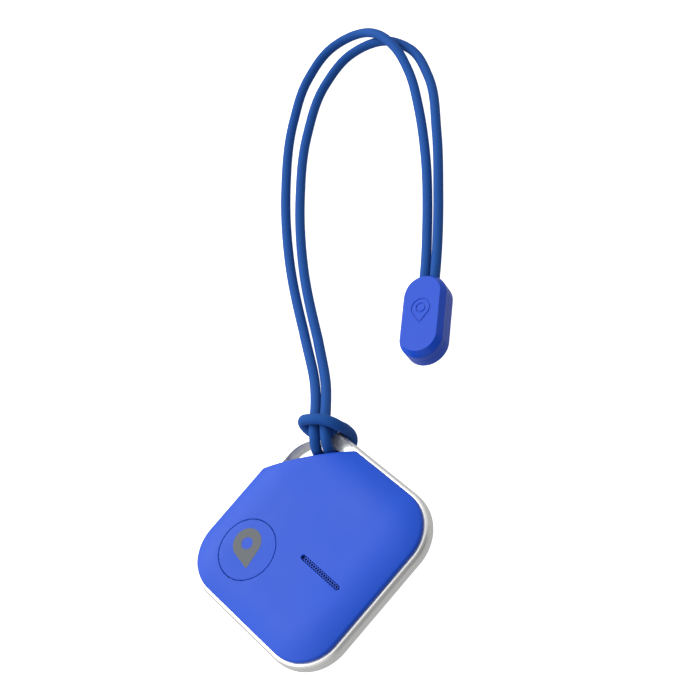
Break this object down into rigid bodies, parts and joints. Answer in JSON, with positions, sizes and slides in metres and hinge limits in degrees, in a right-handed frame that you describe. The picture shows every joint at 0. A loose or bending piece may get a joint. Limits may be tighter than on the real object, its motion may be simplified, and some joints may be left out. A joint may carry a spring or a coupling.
{
  "type": "bluetooth tracker tag",
  "caption": "Rounded-square bluetooth tracker tag with a press button, sound slot, metal strap ring, and a hitched cord that ends in a flat bead.",
  "frame": {"origin": "centre of the square case, on the plane of its flat back", "axes": "+Z out of the front face, +Y to the corner with the strap ring, +X to the corner opposite the button"},
  "size_m": [0.0499, 0.1421, 0.0115],
  "materials": {
    "cover_blue": "satin soft-touch",
    "frame_metal": "polished",
    "adhesive": "die-cut film",
    "seal_rubber": "moulded",
    "print_grey": "pad print",
    "silicone": "moulded",
    "grille_blue": "satin",
    "mesh_black": "woven",
    "brass": "rolled",
    "ceramic": "fired",
    "spring_gold": "gold plated",
    "chassis_black": "moulded",
    "board_green": "solder mask",
    "film_amber": "film",
    "chip_black": "moulded",
    "can_steel": "tin plated",
    "passive_tan": "fired",
    "plunger_white": "moulded",
    "cell_steel": "nickel plated",
    "cell_nylon": "moulded",
    "electrode_dark": "pressed powder",
    "electrode_light": "soft metal",
    "cord_blue": "tightly braided",
    "crimp_metal": "pressed",
    "bead_blue": "satin"
  },
  "bodies": {
    "case": {"back_cover": "cover_blue", "frame": "frame_metal", "front_cover": "cover_blue", "front_bond": "adhesive", "back_bond": "adhesive", "button_pad": "silicone", "sound_grille": "grille_blue", "acoustic_mesh": "mesh_black", "piezo_gasket": "seal_rubber", "piezo_plate": "brass", "piezo_ceramic": "ceramic", "piezo_springs": "spring_gold", "chassis": "chassis_black", "circuit_board": "board_green", "insulating_film": "film_amber", "radio_chip": "chip_black", "shield_can": "can_steel", "crystal": "can_steel", "antenna": "ceramic", "passives": "passive_tan", "switch_body": "chip_black", "switch_dome": "can_steel", "cell_can": "cell_steel", "cell_gasket": "cell_nylon", "cell_cap": "cell_steel", "cell_cathode": "electrode_dark", "cell_anode": "electrode_light", "contact_positive": "spring_gold", "contact_negative": "spring_gold", "cord": "cord_blue", "cord_crimp": "crimp_metal", "bead_front": "bead_blue", "bead_back": "bead_blue"},
    "button": {"button_cap": "cover_blue", "button_mark": "print_grey"},
    "plunger": {"switch_plunger": "plunger_white"},
    "door": {"battery_door": "cover_blue", "door_seal": "seal_rubber"}
  },
  "joints": [
    {"name": "button_press", "type": "slide", "parent": "case", "child": "button", "axis": [0, 0, -1], "range_m": [0, 0.00025], "stiffness_N_per_m": 4000, "springref_m": -0.00005, "deforming": ["button_pad"]},
    {"name": "plunger_press", "type": "slide", "parent": "case", "child": "plunger", "axis": [0, 0, -1], "range_m": [0, 0.00025], "deforming": ["switch_dome"]},
    {"name": "door_twist", "type": "hinge", "parent": "case", "child": "door", "pos_m": [0, -0.001, 0.0004], "axis": [0, 0, 1], "range_deg": [0, 40]}
  ],
  "couplings": [
    {"joint": "plunger_press", "follows": "button_press", "ratio": 1}
  ]
}
